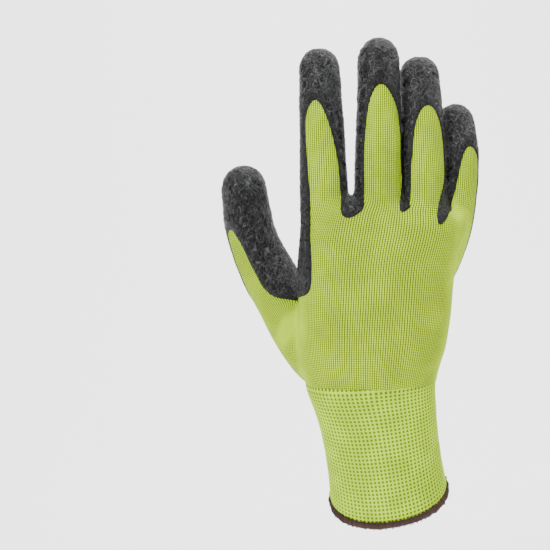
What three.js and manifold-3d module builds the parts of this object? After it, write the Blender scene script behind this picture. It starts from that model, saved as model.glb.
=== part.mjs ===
// Hi-vis grip glove, right hand, held in the form it has when it is worn.
// Millimetres. +Z runs from the hem to the finger tips, the back of the hand faces -Y and the thumb -X.
// The origin is the middle of the opening at the hem, where a wrist goes in.

import * as THREE from 'three';
import Module from 'manifold-3d';

// Main sizes
const CUFF_LENGTH = 62.5;
const PALM_LENGTH = 92;
const PALM_WIDTH = 84;
const PALM_DEPTH = 30;
const FINGER_LENGTH = 123;
const FINGER_WIDTH = 21;
const THUMB_LENGTH = 116;
const THUMB_WIDTH = 23.5;

// Cloth, latex and thread
const KNIT_WALL = 1.2;
const COAT_WALL = 1;
const CLEARANCE = 0.3;
const EDGING_HEIGHT = 3.2;
const EDGING_DEPTH = 2.9;

// Roundness of the finger tips
const TIP_LENGTH_PER_HALF_WIDTH = 1.2;
const TIP_SQUARENESS = 2.4;
const DIGIT_SQUARENESS = 2.15;

// Facets
const HAND_SIDES = 28;
const DIGIT_SIDES = 14;
const EDGING_SIDES = 6;
const PATH_STEPS = 60;
const CUFF_ROWS = 4;
const PALM_ROWS = 7;
const ROOT_ROWS = 3;
const STALL_ROWS = 5;
const DOME_SHARES = [0.45, 0.72, 0.93];
const WEDGE_STEPS = 3;
const BARE_REACH = 34;
const THROUGH = 0.05;

// Cuff and palm, one row per section from the hem (-1) over the change of knit (0) to the crotch (1).
// across and half_width are shares of PALM_WIDTH, palmward and half_depth of PALM_DEPTH.
// lean turns the section towards the thumb, tilt lowers its back edge, both in degrees.
const HAND_COLUMNS = [
  'level', 'across', 'palmward', 'half_width', 'half_depth', 'squareness', 'lean', 'tilt',
];
const HAND_SECTIONS = table(HAND_COLUMNS, [
  [-1.00, 0.000, 0.00, 0.366, 0.84, 2.10, 9.5, 24],
  [-0.94, -0.007, -0.01, 0.362, 0.83, 2.10, 9.5, 24],
  [-0.75, -0.029, -0.06, 0.353, 0.80, 2.10, 9.5, 19],
  [-0.50, -0.058, -0.15, 0.352, 0.75, 2.15, 8.5, 14],
  [-0.25, -0.090, -0.26, 0.364, 0.69, 2.20, 6.5, 9],
  [0.00, -0.128, -0.36, 0.394, 0.61, 2.30, 4.5, 6],
  [0.22, -0.124, -0.42, 0.442, 0.57, 2.40, 1.0, 3],
  [0.45, -0.110, -0.45, 0.455, 0.54, 2.50, 0.0, 0],
  [0.70, -0.094, -0.47, 0.460, 0.51, 2.60, -2.0, -2],
  [0.88, -0.060, -0.47, 0.478, 0.46, 2.60, -5.0, -4],
  [0.96, -0.046, -0.45, 0.478, 0.41, 2.50, -7.0, -5],
  [1.00, -0.043, -0.43, 0.458, 0.33, 2.40, -7.0, -6],
]);

// Fingers, one row per finger. across is a share of PALM_WIDTH, palmward of PALM_DEPTH, level of
// PALM_LENGTH,
// length of FINGER_LENGTH and width of FINGER_WIDTH. lean and pitch are the directions at the start,
// sweep and curl what is added to them up to the tip, roll turns the back of the finger, in degrees.
const FINGER_COLUMNS = ['name', 'across', 'palmward', 'level', 'length', 'width',
  'lean', 'sweep', 'pitch', 'curl', 'roll'];
const FINGERS = table(FINGER_COLUMNS, [
  ['index', -0.409, -0.45, 0.587, 0.946, 1.020, 1.0, 1.5, 3, -24, 4],
  ['middle', -0.097, -0.47, 0.587, 0.988, 1.010, -0.5, 0.5, 3, -24, -5],
  ['ring', 0.183, -0.42, 0.565, 0.940, 0.980, -0.5, 2.5, 2, -28, -14],
  ['little', 0.152, -0.30, 0.457, 0.870, 0.880, -34.0, 47.0, 0, -30, -32],
]);

// Narrowing of a finger towards its tip, shares of its half width and of its length.
const FINGER_TAPER = table(['along', 'width', 'depth'], [
  [0.0, 0.95, 0.90],
  [0.3, 1.00, 0.93],
  [0.5, 0.95, 0.90],
  [0.8, 0.85, 0.83],
  [1.0, 0.81, 0.78],
]);

// Thumb, one row per section. half_width and half_depth are shares of THUMB_WIDTH.
const THUMB_START = { across: -0.425, palmward: -0.30, level: 0.065 };
const THUMB_SECTIONS = table(['along', 'lean', 'pitch', 'roll', 'half_width', 'half_depth'], [
  [0.00, 30, -27, 20, 0.46, 0.34],
  [0.15, 30, -25, 26, 0.60, 0.50],
  [0.28, 30, -21, 32, 0.61, 0.56],
  [0.45, 31, -13, 40, 0.57, 0.54],
  [0.62, 23, -4, 45, 0.51, 0.49],
  [0.78, 9, -1, 46, 0.47, 0.46],
  [1.00, 1, 0, 46, 0.43, 0.41],
]);

// Where each stall is joined to the hand, a share of the length of its digit.
const STALL_STARTS = { index: 0.365, middle: 0.350, ring: 0.360, little: 0.490, thumb: 0.430 };

// Bare knit on the back of each digit, from the tip of the bare tongue to the hand, one row per section.
// from and to are the edges of the latex in degrees round the digit, measured from its back, + to the
// little-finger side.
const TONGUE_COLUMNS = ['along', 'from', 'to'];
const TONGUES = {
  index: table(TONGUE_COLUMNS, [
    [0.000, -38, 50],
    [0.350, -38, 52],
    [0.460, -43, 49],
    [0.560, -48, 39],
    [0.640, -50, 27],
    [0.700, -48, 14],
    [0.736, -38, 4],
    [0.768, -20, -8],
  ]),
  middle: table(TONGUE_COLUMNS, [
    [0.000, -50, 72],
    [0.330, -50, 80],
    [0.420, -50, 79],
    [0.530, -51, 78],
    [0.610, -49, 76],
    [0.700, -40, 54],
    [0.766, -25, 29],
    [0.800, -5, 4],
  ]),
  ring: table(TONGUE_COLUMNS, [
    [0.000, -60, 20],
    [0.300, -61, 26],
    [0.390, -57, 42],
    [0.490, -54, 64],
    [0.580, -48, 68],
    [0.650, -42, 52],
    [0.700, -34, 38],
    [0.730, -25, 24],
    [0.760, -4, 2],
  ]),
  little: table(TONGUE_COLUMNS, [
    [0.000, -56, 60],
    [0.440, -56, 54],
    [0.530, -55, 52],
    [0.610, -47, 51],
    [0.690, -36, 51],
    [0.735, -24, 44],
    [0.770, -8, 8],
  ]),
  thumb: table(TONGUE_COLUMNS, [
    [0.000, -80, 70],
    [0.320, -78, 42],
    [0.400, -70, 24],
    [0.450, -56, 20],
    [0.510, -47, 21],
    [0.600, -45, 20],
    [0.680, -44, 16],
    [0.720, -40, 6],
    [0.745, -16, -2],
  ]),
};

// Bare knit on the back of the hand. from and to are shares of the half width of the section,
// lift is the height of the latex edge over the middle of its depth, a share of the half depth.
const BACK_COLUMNS = ['level', 'from', 'to', 'lift'];
const BARE_BACK = table(BACK_COLUMNS, [
  [-0.30, -1.40, 1.40, -0.10],
  [0.36, -1.40, 1.40, -0.10],
  [0.43, -1.25, 1.40, -0.10],
  [0.465, -0.99, 1.40, -0.10],
  [0.50, -0.90, 1.40, -0.08],
  [0.56, -0.86, 1.40, -0.06],
  [0.70, -0.83, 1.40, -0.05],
  [0.92, -0.82, 1.40, 0.00],
]);
const COAT_START_LEVEL = -0.05;

// Colours
const LIME_KNIT = 0xc9df45;
const LIME_RIB = 0xc4d83c;
const BLACK_LATEX = 0x26272a;
const BROWN_THREAD = 0x3c2218;
const KNIT_ROUGHNESS = 0.9;
const LATEX_ROUGHNESS = 0.6;

const wasm = await Module();
wasm.setup();

function table(columns, rows) {
  return rows.map((row) => Object.fromEntries(columns.map((column, place) => [column, row[place]])));
}

// Value of a column between the rows of a table, on a smooth curve through them
function read(rows, key, column, at) {
  const last = rows.length - 1;
  let low = 0;
  while (low < last - 1 && at > rows[low + 1][key]) {
    low += 1;
  }
  const high = low + 1;
  const step = rows[high][key] - rows[low][key];
  const u = THREE.MathUtils.clamp((at - rows[low][key]) / step, 0, 1);
  const slope = (row) => {
    const before = rows[Math.max(row - 1, 0)];
    const after = rows[Math.min(row + 1, last)];
    return (after[column] - before[column]) / (after[key] - before[key]);
  };
  const startPart = (1 + 2 * u) * (1 - u) * (1 - u) * rows[low][column];
  const endPart = u * u * (3 - 2 * u) * rows[high][column];
  const startSlope = u * (1 - u) * (1 - u) * step * slope(low);
  const endSlope = u * u * (u - 1) * step * slope(high);
  return startPart + endPart + startSlope + endSlope;
}

// Directions of a section: along the piece, across it and out of its back
function axes(lean, pitch, roll) {
  const a = THREE.MathUtils.degToRad(lean);
  const b = THREE.MathUtils.degToRad(pitch);
  const c = THREE.MathUtils.degToRad(roll);
  const along = new THREE.Vector3(-Math.sin(a) * Math.cos(b), -Math.sin(b), Math.cos(a) * Math.cos(b));
  const level = new THREE.Vector3(0, -1, 0).addScaledVector(along, along.y).normalize();
  const side = new THREE.Vector3().crossVectors(along, level).normalize();
  const back = level.clone().multiplyScalar(Math.cos(c)).addScaledVector(side, -Math.sin(c));
  const across = side.clone().multiplyScalar(Math.cos(c)).addScaledVector(level, Math.sin(c));
  return { along, across, back };
}

function heightOf(level) {
  return CUFF_LENGTH + level * (level < 0 ? CUFF_LENGTH : PALM_LENGTH);
}

function handSection(level, grow) {
  const at = (column) => read(HAND_SECTIONS, 'level', column, level);
  const centre = new THREE.Vector3(at('across') * PALM_WIDTH, at('palmward') * PALM_DEPTH, heightOf(level));
  return {
    centre,
    ...axes(at('lean'), at('tilt'), 0),
    halfWidth: at('half_width') * PALM_WIDTH + grow,
    halfDepth: at('half_depth') * PALM_DEPTH + grow,
    squareness: at('squareness'),
  };
}

function digitShape(name) {
  if (name === 'thumb') {
    const at = (column) => (share) => read(THUMB_SECTIONS, 'along', column, share);
    return {
      length: THUMB_LENGTH,
      start: THUMB_START,
      lean: at('lean'),
      pitch: at('pitch'),
      roll: at('roll'),
      halfWidth: (share) => at('half_width')(share) * THUMB_WIDTH,
      halfDepth: (share) => at('half_depth')(share) * THUMB_WIDTH,
    };
  }
  const finger = FINGERS.find((row) => row.name === name);
  const half = (finger.width * FINGER_WIDTH) / 2;
  return {
    length: finger.length * FINGER_LENGTH,
    start: finger,
    lean: (share) => finger.lean + finger.sweep * share,
    pitch: (share) => finger.pitch + finger.curl * THREE.MathUtils.smoothstep(share, 0, 1),
    roll: () => finger.roll,
    halfWidth: (share) => half * read(FINGER_TAPER, 'along', 'width', share),
    halfDepth: (share) => half * read(FINGER_TAPER, 'along', 'depth', share),
  };
}

// Section of a digit at a distance along it. grow moves the skin outwards, the tip too.
function digitSection(name, distance, grow) {
  const shape = digitShape(name);
  const centre = new THREE.Vector3(
    shape.start.across * PALM_WIDTH,
    shape.start.palmward * PALM_DEPTH,
    heightOf(shape.start.level),
  );
  const step = distance / PATH_STEPS;
  for (let count = 0; count < PATH_STEPS; count += 1) {
    const share = Math.min(((count + 0.5) * step) / shape.length, 1);
    centre.addScaledVector(axes(shape.lean(share), shape.pitch(share), 0).along, step);
  }
  const share = Math.min(distance / shape.length, 1);
  const domeLength = TIP_LENGTH_PER_HALF_WIDTH * shape.halfWidth(1) + grow;
  const domeShare = THREE.MathUtils.clamp(1 - (shape.length + grow - distance) / domeLength, 0, 1);
  const dome = Math.sqrt(1 - domeShare ** TIP_SQUARENESS);
  return {
    centre,
    ...axes(shape.lean(share), shape.pitch(share), shape.roll(share)),
    halfWidth: (shape.halfWidth(share) + grow) * dome,
    halfDepth: (shape.halfDepth(share) + grow) * dome,
    squareness: DIGIT_SQUARENESS,
  };
}

// Point of a section, as shares of its half width and half depth
function pointOf(section, acrossShare, backShare) {
  return section.centre.clone()
    .addScaledVector(section.across, acrossShare * section.halfWidth)
    .addScaledVector(section.back, backShare * section.halfDepth);
}

function ringOf(section, sides) {
  const power = 2 / section.squareness;
  return Array.from({ length: sides }, (_, side) => {
    const turn = (2 * Math.PI * side) / sides;
    const x = Math.sign(Math.cos(turn)) * Math.abs(Math.cos(turn)) ** power;
    const y = Math.sign(Math.sin(turn)) * Math.abs(Math.sin(turn)) ** power;
    return pointOf(section, x, -y);
  });
}

// Closed solid through rings of equal point count, which turn anticlockwise seen against the way they go
function solidThrough(rings, firstCentre, lastCentre) {
  const sides = rings[0].length;
  const points = [...rings.flat(), firstCentre, lastCentre];
  const start = points.length - 2;
  const end = points.length - 1;
  const lastRing = (rings.length - 1) * sides;
  const triangles = [];
  for (let side = 0; side < sides; side += 1) {
    const next = (side + 1) % sides;
    for (let ring = 0; ring < rings.length - 1; ring += 1) {
      const low = ring * sides;
      const high = low + sides;
      triangles.push(low + side, low + next, high + side);
      triangles.push(low + next, high + next, high + side);
    }
    triangles.push(start, next, side);
    triangles.push(end, lastRing + side, lastRing + next);
  }
  return solidOf(points, triangles);
}

function solidOf(points, triangles) {
  return new wasm.Manifold(new wasm.Mesh({
    numProp: 3,
    vertProperties: new Float32Array(points.flatMap((point) => point.toArray())),
    triVerts: new Uint32Array(triangles),
  }));
}

function spread(from, to, count) {
  return Array.from({ length: count + 1 }, (_, place) => from + ((to - from) * place) / count);
}

// Tube or block of the hand through levels; grow moves its skin outwards
function handSolid(levels, grow) {
  const sections = levels.map((level) => handSection(level, grow));
  const rings = sections.map((section) => ringOf(section, HAND_SIDES));
  return solidThrough(rings, sections[0].centre, sections.at(-1).centre);
}

const DIGITS = [...FINGERS.map((finger) => finger.name), 'thumb'];
const PALM_LEVELS = spread(0, 1, PALM_ROWS);
const rootOf = (name) => STALL_STARTS[name] * digitShape(name).length;
const rootRows = (name) => spread(0, rootOf(name), ROOT_ROWS);

// Rows of a stall from a distance along its digit to its tip
function stallRows(name, from, grow) {
  const shape = digitShape(name);
  const domeStart = shape.length - TIP_LENGTH_PER_HALF_WIDTH * shape.halfWidth(1);
  const domeLength = shape.length + grow - domeStart;
  return [
    ...spread(from, domeStart, STALL_ROWS),
    ...DOME_SHARES.map((share) => domeStart + share * domeLength),
  ];
}

// Solid of a digit through rows, closed flat or over its tip
function digitSolid(name, rows, grow, closedByTip) {
  const end = closedByTip ? digitShape(name).length + grow : rows.at(-1);
  const rings = rows.map((distance) => ringOf(digitSection(name, distance, grow), DIGIT_SIDES));
  return solidThrough(rings, digitSection(name, rows[0], grow).centre, digitSection(name, end, grow).centre);
}

// Wedge out of the axis of a digit, over the bare knit on its back
function tongueSolid(name) {
  const shape = digitShape(name);
  const rings = TONGUES[name].map((row) => {
    const section = digitSection(name, row.along * shape.length, 0);
    const turns = spread(row.from, row.to, WEDGE_STEPS).map(THREE.MathUtils.degToRad);
    const far = turns.map((turn) => section.centre.clone()
      .addScaledVector(section.back, Math.cos(turn) * BARE_REACH)
      .addScaledVector(section.across, Math.sin(turn) * BARE_REACH));
    return [section.centre, ...far];
  });
  return solidThrough(rings, middleOf(rings[0]), middleOf(rings.at(-1)));
}

// Block over the bare knit on the back of the hand
function backSolid() {
  const rings = BARE_BACK.map((row) => {
    const section = handSection(row.level, 0);
    const far = BARE_REACH / section.halfDepth;
    return [
      pointOf(section, row.from, row.lift),
      pointOf(section, row.from, far),
      pointOf(section, row.to, far),
      pointOf(section, row.to, row.lift),
    ];
  });
  return solidThrough(rings, middleOf(rings[0]), middleOf(rings.at(-1)));
}

function middleOf(points) {
  const middle = new THREE.Vector3();
  points.forEach((point) => middle.addScaledVector(point, 1 / points.length));
  return middle;
}

function joined(solids) {
  return solids.reduce((whole, solid) => whole.add(solid));
}

// Cuff: a tube between the edging and the change of knit
function cuffTube() {
  const hem = -1 + (EDGING_HEIGHT + CLEARANCE) / CUFF_LENGTH;
  const end = -CLEARANCE / CUFF_LENGTH;
  const levels = spread(hem, end, CUFF_ROWS);
  return handSolid(levels, 0).subtract(handSolid([hem - THROUGH, ...levels, end + THROUGH], -KNIT_WALL));
}

// Hand: the palm tube with the roots of the digits, all open into one another
function handTube() {
  const roots = DIGITS.map((name) => digitSolid(name, rootRows(name), 0, false));
  const ways = DIGITS.map((name) => {
    const past = rootOf(name) + KNIT_WALL;
    return digitSolid(name, [...rootRows(name), past], -KNIT_WALL, false);
  });
  const levels = [-THROUGH, ...PALM_LEVELS.slice(0, -1), 1 - KNIT_WALL / PALM_LENGTH];
  const outside = joined([handSolid(PALM_LEVELS, 0), ...roots]);
  return outside.subtract(joined([handSolid(levels, -KNIT_WALL), ...ways]));
}

// Stall: the tube of one digit from its root to its closed tip
function stallTube(name) {
  const rows = stallRows(name, rootOf(name) + CLEARANCE, 0);
  const way = stallRows(name, rootOf(name) + CLEARANCE, -KNIT_WALL);
  const inside = digitSolid(name, [rootOf(name), ...way], -KNIT_WALL, true);
  return digitSolid(name, rows, 0, true).subtract(inside);
}

// Latex: a skin over palm, finger sides and tips, left off the back of the hand
function coatSkin() {
  const skin = (grow, start) => joined([
    handSolid([start, ...PALM_LEVELS.slice(0, -1), 1 + grow / PALM_LENGTH], grow),
    ...DIGITS.map((name) => {
      const rows = stallRows(name, rootOf(name) + CLEARANCE, grow);
      return digitSolid(name, [...rootRows(name), ...rows], grow, true);
    }),
  ]);
  const outside = skin(CLEARANCE + COAT_WALL, COAT_START_LEVEL);
  const inside = skin(CLEARANCE, COAT_START_LEVEL - THROUGH);
  return outside.subtract(inside).subtract(joined([backSolid(), ...DIGITS.map(tongueSolid)]));
}

// Edging: the oversewn hem, a flattened ring under the cuff
function edgingRing() {
  const hem = handSection(-1, -KNIT_WALL / 2);
  const path = ringOf(hem, HAND_SIDES);
  const middle = EDGING_HEIGHT / 2;
  const rings = path.map((point, place) => {
    const outward = point.clone().sub(hem.centre).normalize();
    return Array.from({ length: EDGING_SIDES }, (_, side) => {
      const turn = (2 * Math.PI * side) / EDGING_SIDES;
      return point.clone()
        .addScaledVector(outward, (EDGING_DEPTH / 2) * Math.cos(turn))
        .addScaledVector(hem.along, middle - middle * Math.sin(turn));
    });
  });
  return ringThrough(rings);
}

// Closed ring through sections of equal point count
function ringThrough(rings) {
  const sides = rings[0].length;
  const triangles = [];
  rings.forEach((_, ring) => {
    const low = ring * sides;
    const high = ((ring + 1) % rings.length) * sides;
    for (let side = 0; side < sides; side += 1) {
      const next = (side + 1) % sides;
      triangles.push(low + side, low + next, high + side);
      triangles.push(low + next, high + next, high + side);
    }
  });
  return solidOf(rings.flat(), triangles);
}

function meshOf(name, solid, colour, roughness) {
  const mesh = solid.getMesh();
  const geometry = new THREE.BufferGeometry();
  const points = new Float32Array(mesh.numVert * 3);
  for (let point = 0; point < mesh.numVert; point += 1) {
    points.set(mesh.vertProperties.subarray(point * mesh.numProp, point * mesh.numProp + 3), point * 3);
  }
  geometry.setAttribute('position', new THREE.BufferAttribute(points, 3));
  geometry.setIndex(new THREE.BufferAttribute(new Uint32Array(mesh.triVerts), 1));
  geometry.computeVertexNormals();
  const part = new THREE.Mesh(geometry, new THREE.MeshStandardMaterial({ color: colour, roughness }));
  part.name = name;
  return part;
}

const glove = new THREE.Group();
glove.name = 'grip_glove';
glove.add(meshOf('rib_cuff', cuffTube(), LIME_RIB, KNIT_ROUGHNESS));
glove.add(meshOf('hand_knit', handTube(), LIME_KNIT, KNIT_ROUGHNESS));
DIGITS.forEach((name) => glove.add(meshOf(`${name}_stall`, stallTube(name), LIME_KNIT, KNIT_ROUGHNESS)));
glove.add(meshOf('latex_coating', coatSkin(), BLACK_LATEX, LATEX_ROUGHNESS));
glove.add(meshOf('cuff_edging', edgingRing(), BROWN_THREAD, KNIT_ROUGHNESS));

export default glove;
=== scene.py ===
import math

import bpy
import numpy as np
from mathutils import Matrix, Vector, noise


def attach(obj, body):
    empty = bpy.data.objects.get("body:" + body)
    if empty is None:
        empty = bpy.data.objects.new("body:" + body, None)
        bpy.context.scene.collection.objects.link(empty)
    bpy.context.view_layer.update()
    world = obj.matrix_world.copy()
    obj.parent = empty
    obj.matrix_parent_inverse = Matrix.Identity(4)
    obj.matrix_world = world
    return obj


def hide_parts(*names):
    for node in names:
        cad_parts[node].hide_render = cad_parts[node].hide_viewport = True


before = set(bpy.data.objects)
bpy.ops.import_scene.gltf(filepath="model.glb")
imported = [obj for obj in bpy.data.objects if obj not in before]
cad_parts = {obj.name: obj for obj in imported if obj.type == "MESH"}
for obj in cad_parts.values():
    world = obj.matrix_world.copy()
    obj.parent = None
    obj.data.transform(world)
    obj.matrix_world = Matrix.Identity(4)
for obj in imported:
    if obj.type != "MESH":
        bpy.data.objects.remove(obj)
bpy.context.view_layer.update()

# Hand
# A seamless tube of fine lime yarn, knitted in the round and branching into five stalls.
# It is worn here, so it is filled and its stitches are stretched smooth.
MM = 0.001
CUFF_LENGTH = 62.5 * MM
PALM_LENGTH = 92 * MM
PALM_WIDTH = 84 * MM
PALM_DEPTH = 30 * MM
FINGER_LENGTH = 123 * MM
FINGER_WIDTH = 21 * MM
THUMB_LENGTH = 116 * MM
THUMB_WIDTH = 23.5 * MM
KNIT_WALL = 1.2 * MM
KNIT_STEP = 1.09 * MM
TIP_LENGTH_PER_HALF_WIDTH = 1.2
TIP_SQUARENESS = 2.4
DIGIT_SQUARENESS = 2.15
PALM_STATIONS, PALM_SIDES = 70, 96
DIGIT_STATIONS, DIGIT_SIDES = 160, 56


def table(columns, rows):
    """Columns of a table by name."""
    return dict(zip(columns.split(), np.array(rows, dtype=float).T))


# across and half_width are shares of the palm's width, palmward and half_depth of its depth
HAND = table("level across palmward half_width half_depth squareness lean tilt", [
    (-1.00, 0.000, 0.00, 0.366, 0.84, 2.10, 9.5, 24),
    (-0.94, -0.007, -0.01, 0.362, 0.83, 2.10, 9.5, 24),
    (-0.75, -0.029, -0.06, 0.353, 0.80, 2.10, 9.5, 19),
    (-0.50, -0.058, -0.15, 0.352, 0.75, 2.15, 8.5, 14),
    (-0.25, -0.090, -0.26, 0.364, 0.69, 2.20, 6.5, 9),
    (0.00, -0.128, -0.36, 0.394, 0.61, 2.30, 4.5, 6),
    (0.22, -0.124, -0.42, 0.442, 0.57, 2.40, 1.0, 3),
    (0.45, -0.110, -0.45, 0.455, 0.54, 2.50, 0.0, 0),
    (0.70, -0.094, -0.47, 0.460, 0.51, 2.60, -2.0, -2),
    (0.88, -0.060, -0.47, 0.478, 0.46, 2.60, -5.0, -4),
    (0.96, -0.046, -0.45, 0.478, 0.41, 2.50, -7.0, -5),
    (1.00, -0.043, -0.43, 0.458, 0.33, 2.40, -7.0, -6),
])
FINGER_TAPER = table("along width depth", [
    (0.0, 0.95, 0.90),
    (0.3, 1.00, 0.93),
    (0.5, 0.95, 0.90),
    (0.8, 0.85, 0.83),
    (1.0, 0.81, 0.78),
])
# start is across, palmward and level; sweep and curl are added to lean and pitch up to the tip
FINGERS = {
    "index": dict(start=(-0.409, -0.45, 0.587), length=0.946, width=1.020,
                  lean=1.0, sweep=1.5, pitch=3, curl=-24, roll=4),
    "middle": dict(start=(-0.097, -0.47, 0.587), length=0.988, width=1.040,
                   lean=-0.5, sweep=0.5, pitch=3, curl=-24, roll=-5),
    "ring": dict(start=(0.177, -0.42, 0.565), length=0.940, width=1.000,
                 lean=-0.5, sweep=2.5, pitch=2, curl=-28, roll=-14),
    "little": dict(start=(0.152, -0.30, 0.457), length=0.870, width=0.880,
                   lean=-34.0, sweep=47.0, pitch=0, curl=-30, roll=-32),
}
THUMB_START = (-0.425, -0.30, 0.065)
THUMB = table("along lean pitch roll half_width half_depth", [
    (0.00, 30, -27, 20, 0.46, 0.34),
    (0.15, 30, -25, 26, 0.60, 0.50),
    (0.28, 30, -21, 32, 0.61, 0.56),
    (0.45, 31, -13, 40, 0.57, 0.54),
    (0.62, 23, -4, 45, 0.51, 0.49),
    (0.78, 9, -1, 46, 0.47, 0.46),
    (1.00, 1, 0, 46, 0.43, 0.41),
])


def read(rows, column, at):
    """A column of a table on a smooth curve through its rows."""
    key, value = list(rows.values())[0], rows[column]
    at = np.clip(at, key[0], key[-1])
    low = np.clip(np.searchsorted(key, at) - 1, 0, len(key) - 2)
    step = key[low + 1] - key[low]
    u = (at - key[low]) / step
    ahead, behind = np.append(value[1:], value[-1]), np.insert(value[:-1], 0, value[0])
    key_ahead, key_behind = np.append(key[1:], key[-1]), np.insert(key[:-1], 0, key[0])
    slope = (ahead - behind) / (key_ahead - key_behind)
    return ((1 + 2 * u) * (1 - u) ** 2 * value[low] + u * u * (3 - 2 * u) * value[low + 1]
            + u * (1 - u) ** 2 * step * slope[low] + u * u * (u - 1) * step * slope[low + 1])


def unit(vectors):
    return vectors / np.linalg.norm(vectors, axis=-1, keepdims=True)


def axes(lean, pitch, roll):
    """Directions along a tube, across it and out of its back, one row for each station."""
    a, b, c = (np.radians(np.asarray(v, dtype=float)) for v in (lean, pitch, roll))
    along = np.stack([-np.sin(a) * np.cos(b), -np.sin(b), np.cos(a) * np.cos(b)], -1)
    level = unit(np.array([0.0, -1.0, 0.0]) + along * along[..., 1:2])
    side = unit(np.cross(along, level))
    c = c[..., None]
    return along, side * np.cos(c) + level * np.sin(c), level * np.cos(c) - side * np.sin(c)


def height_of(level):
    return CUFF_LENGTH + level * np.where(level < 0, CUFF_LENGTH, PALM_LENGTH)


def hand_tube(levels):
    """Stations of the cuff and palm at levels."""
    at = {column: read(HAND, column, levels) for column in HAND}
    centre = np.stack([at["across"] * PALM_WIDTH, at["palmward"] * PALM_DEPTH, height_of(levels)], -1)
    along, across, back = axes(at["lean"], at["tilt"], 0 * levels)
    return dict(at=levels, centre=centre, along=along, across=across, back=back, distance=height_of(levels),
                half_width=at["half_width"] * PALM_WIDTH, half_depth=at["half_depth"] * PALM_DEPTH,
                squareness=at["squareness"])


def digit_tube(name, stations):
    """Stations of a digit from its start inside the palm to its tip, which closes in a dome."""
    share = np.linspace(0, 1, stations)
    if name == "thumb":
        length, start = THUMB_LENGTH, THUMB_START
        lean, pitch, roll = (read(THUMB, column, share) for column in ("lean", "pitch", "roll"))
        half_width = read(THUMB, "half_width", share) * THUMB_WIDTH
        half_depth = read(THUMB, "half_depth", share) * THUMB_WIDTH
    else:
        finger = FINGERS[name]
        length, start = finger["length"] * FINGER_LENGTH, finger["start"]
        lean = finger["lean"] + finger["sweep"] * share
        pitch = finger["pitch"] + finger["curl"] * share * share * (3 - 2 * share)
        roll = finger["roll"] + 0 * share
        half_width = finger["width"] * FINGER_WIDTH / 2 * read(FINGER_TAPER, "width", share)
        half_depth = finger["width"] * FINGER_WIDTH / 2 * read(FINGER_TAPER, "depth", share)
    along, across, back = axes(lean, pitch, roll)
    step = length / (stations - 1)
    travel = np.cumsum((along[:-1] + along[1:]) / 2 * step, axis=0)
    first = np.array([start[0] * PALM_WIDTH, start[1] * PALM_DEPTH, height_of(np.array(start[2]))])
    dome_length = TIP_LENGTH_PER_HALF_WIDTH * half_width[-1]
    dome = np.clip(1 - (1 - share) * length / dome_length, 0, 1)
    return dict(at=share, centre=np.vstack([first, first + travel]), along=along, across=across, back=back,
                distance=share * length, length=length, half_width=half_width, half_depth=half_depth,
                dome=np.sqrt(1 - dome ** TIP_SQUARENESS), squareness=DIGIT_SQUARENESS + 0 * share)


def rings_of(tube, sides, turn=None):
    """Rings of points round a tube's stations, at even turns unless others are given."""
    if turn is None:
        turn = np.linspace(0, 2 * np.pi, sides, endpoint=False)
    power = (2 / tube["squareness"])[:, None]
    closing = tube.get("dome", 1 + 0 * tube["at"])
    x = np.sign(np.cos(turn)) * np.abs(np.cos(turn)) ** power * (tube["half_width"] * closing)[:, None]
    y = np.sign(np.sin(turn)) * np.abs(np.sin(turn)) ** power * (tube["half_depth"] * closing)[:, None]
    return (tube["centre"][:, None] + x[..., None] * tube["across"][:, None]
            - y[..., None] * tube["back"][:, None])


def wall_faces(index):
    """Faces between the rings of a tube, from the numbers of its points."""
    turned = np.roll(index, -1, axis=1)
    return np.stack([index[:-1], turned[:-1], turned[1:], index[1:]], -1).reshape(-1, 4)


def closed_tube(rings):
    """Points and faces of a tube closed at both ends."""
    count, sides = rings.shape[:2]
    points = np.vstack([rings.reshape(-1, 3), rings[0].mean(0), rings[-1].mean(0)])
    index = np.arange(count * sides).reshape(count, sides)
    turned = np.roll(index, -1, axis=1)
    faces = wall_faces(index).tolist()
    start, end = count * sides, count * sides + 1
    faces += [(start, b, a) for a, b in zip(index[0], turned[0])]
    faces += [(end, a, b) for a, b in zip(index[-1], turned[-1])]
    return points, faces


def new_piece(name, points, faces):
    mesh = bpy.data.meshes.new(name)
    mesh.from_pydata(np.asarray(points).tolist(), [], [tuple(int(i) for i in face) for face in faces])
    mesh.update()
    piece = bpy.data.objects.new(name, mesh)
    bpy.context.scene.collection.objects.link(piece)
    mesh.shade_smooth()
    return piece


def vectors_of(items, name):
    """The named vector of each item of a mesh, one row for each."""
    flat = np.empty(len(items) * 3)
    items.foreach_get(name, flat)
    return flat.reshape(-1, 3)


def set_points(mesh, points):
    mesh.vertices.foreach_set("co", np.asarray(points).ravel())
    mesh.update()


def spread_smooth(values, edges, rounds):
    """Values at points, evened out along the edges."""
    count = np.bincount(edges.ravel(), minlength=len(values))
    for _ in range(rounds):
        total = np.bincount(edges[:, 0], values[edges[:, 1]], len(values))
        total += np.bincount(edges[:, 1], values[edges[:, 0]], len(values))
        values = (values + total / np.maximum(count, 1)) / 2
    return values


DIGITS = list(FINGERS) + ["thumb"]
WRIST_OVERLAP = 0.30
palm_tube = hand_tube(np.linspace(-WRIST_OVERLAP, 1, PALM_STATIONS))
digit_tubes = {name: digit_tube(name, DIGIT_STATIONS) for name in DIGITS}
digit_rings = [rings_of(tube, DIGIT_SIDES) for tube in digit_tubes.values()]
all_points, all_faces = [], []
for rings in [rings_of(palm_tube, PALM_SIDES)] + digit_rings:
    points, faces = closed_tube(rings)
    offset = sum(len(p) for p in all_points)
    all_faces += [tuple(i + offset for i in face) for face in faces]
    all_points.append(points)
body = new_piece("worn_body", np.vstack(all_points), all_faces)

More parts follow.
